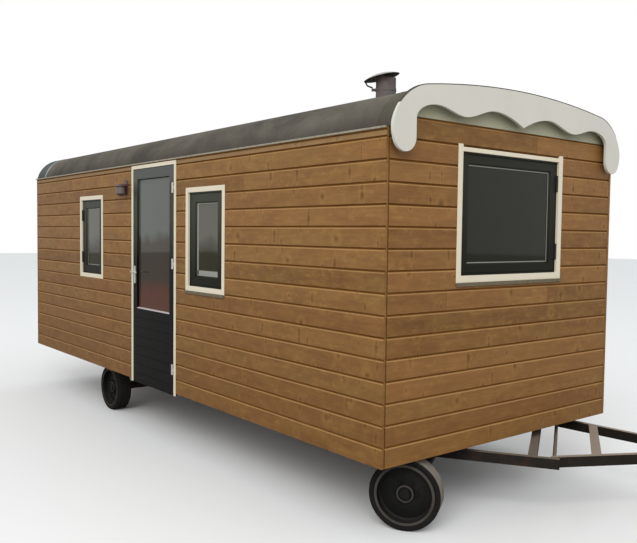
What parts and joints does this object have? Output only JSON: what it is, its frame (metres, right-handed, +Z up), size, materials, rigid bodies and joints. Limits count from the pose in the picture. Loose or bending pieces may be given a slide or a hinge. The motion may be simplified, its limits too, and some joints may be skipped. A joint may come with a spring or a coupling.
{
  "type": "shepherds hut",
  "caption": "Timber-clad shepherds hut with an arched roof and scalloped bargeboard, on a wheeled chassis with a steering turntable and hinged A-frame drawbar.",
  "frame": {"origin": "centre of the bounding box at ground level, with the front gear steered as in the rest pose", "axes": "+X along the hut to the window gable and the drawbar, +Y to the far side, away from the door, +Z up"},
  "size_m": [7.3796, 2.616, 3.0511],
  "materials": {
    "cladding": "stained softwood boards, satin",
    "floor_boards": "plain boards",
    "roof_felt": "weathered bitumen felt, matt",
    "white_paint": "off-white paint on timber",
    "cream_paint": "cream paint on timber",
    "dark_green_paint": "very dark green paint, satin",
    "window_glass": "double glazing",
    "zinc": "dull folded strip",
    "hinge_steel": "galvanised",
    "latch_aluminium": "satin",
    "light_metal": "dark satin paint",
    "flue_steel": "rusted and sooty",
    "chassis_steel": "dark paint, dusty",
    "tyre": "worn rubber, dusty",
    "rim_steel": "dark paint, dusty"
  },
  "bodies": {
    "hut": {"chassis_near_rail": "chassis_steel", "chassis_far_rail": "chassis_steel", "chassis_bearers": "chassis_steel", "floor_deck": "floor_boards", "front_gable_wall": "cladding", "rear_gable_wall": "cladding", "side_wall_front": "cladding", "side_wall_rear": "cladding", "wall_over_door": "cladding", "far_side_wall": "cladding", "front_tympanum": "white_paint", "roof_shell": "roof_felt", "barge_board": "white_paint", "eave_strips": "zinc", "front_window_trim": "cream_paint", "front_window_frame": "dark_green_paint", "rear_window_trim": "cream_paint", "rear_window_frame": "dark_green_paint", "gable_window_trim": "cream_paint", "gable_window_frame": "dark_green_paint", "far_window_trims": "cream_paint", "far_window_frames": "dark_green_paint", "window_panes": "window_glass", "window_flashings": "zinc", "door_trim": "cream_paint", "door_frame": "dark_green_paint", "door_hinge_pins": "hinge_steel", "wall_light": "light_metal", "flue_pipe": "flue_steel", "flue_cowl": "flue_steel", "cowl_strap": "flue_steel", "rear_axle": "chassis_steel", "turntable_upper_ring": "chassis_steel", "turntable_bolster": "chassis_steel"},
    "door": {"door_leaf": "dark_green_paint", "door_pane": "window_glass", "door_hinges": "hinge_steel", "latch_plate": "latch_aluminium"},
    "latch": {"latch_lever": "latch_aluminium"},
    "front_bogie": {"turntable_lower_ring": "chassis_steel", "kingpin": "chassis_steel", "bogie_near_member": "chassis_steel", "bogie_far_member": "chassis_steel", "bogie_cross_members": "chassis_steel", "drawbar_hinge_rod": "chassis_steel", "front_axle": "chassis_steel"},
    "drawbar": {"drawbar_near_leg": "chassis_steel", "drawbar_far_leg": "chassis_steel", "drawbar_crossbar": "chassis_steel", "tow_eye": "chassis_steel"},
    "front_near_wheel": {"front_near_wheel_tyre": "tyre", "front_near_wheel_rim": "rim_steel"},
    "front_far_wheel": {"front_far_wheel_tyre": "tyre", "front_far_wheel_rim": "rim_steel"},
    "rear_near_wheel": {"rear_near_wheel_tyre": "tyre", "rear_near_wheel_rim": "rim_steel"},
    "rear_far_wheel": {"rear_far_wheel_tyre": "tyre", "rear_far_wheel_rim": "rim_steel"}
  },
  "joints": [
    {"name": "door_hinge", "type": "hinge", "parent": "hut", "child": "door", "pos_m": [-0.00083, -1.204, 1.643], "axis": [0, 0, 1], "range_deg": [0, 110]},
    {"name": "latch_turn", "type": "hinge", "parent": "door", "child": "latch", "pos_m": [-0.78283, -1.211, 1.537], "axis": [0, 1, 0], "range_deg": [0, 40], "stiffness_Nm_per_rad": 2.5, "springref_deg": -17.19},
    {"name": "turntable", "type": "hinge", "parent": "hut", "child": "front_bogie", "pos_m": [1.97017, 0.05, 0.441], "axis": [0, 0, 1], "range_deg": [-78, 12]},
    {"name": "drawbar_lift", "type": "hinge", "parent": "front_bogie", "child": "drawbar", "pos_m": [2.73587, 0.54726, 0.406], "axis": [0.5446, -0.8387, 0], "range_deg": [-20, 5]},
    {"name": "front_near_spin", "type": "hinge", "parent": "front_bogie", "child": "front_near_wheel", "pos_m": [2.53496, -0.8197, 0.238], "axis": [-0.5446, 0.8387, 0], "continuous": true},
    {"name": "front_far_spin", "type": "hinge", "parent": "front_bogie", "child": "front_far_wheel", "pos_m": [1.40538, 0.9197, 0.238], "axis": [-0.5446, 0.8387, 0], "continuous": true},
    {"name": "rear_near_spin", "type": "hinge", "parent": "hut", "child": "rear_near_wheel", "pos_m": [-1.72483, -0.987, 0.238], "axis": [0, 1, 0], "continuous": true},
    {"name": "rear_far_spin", "type": "hinge", "parent": "hut", "child": "rear_far_wheel", "pos_m": [-1.72483, 1.087, 0.238], "axis": [0, 1, 0], "continuous": true}
  ]
}
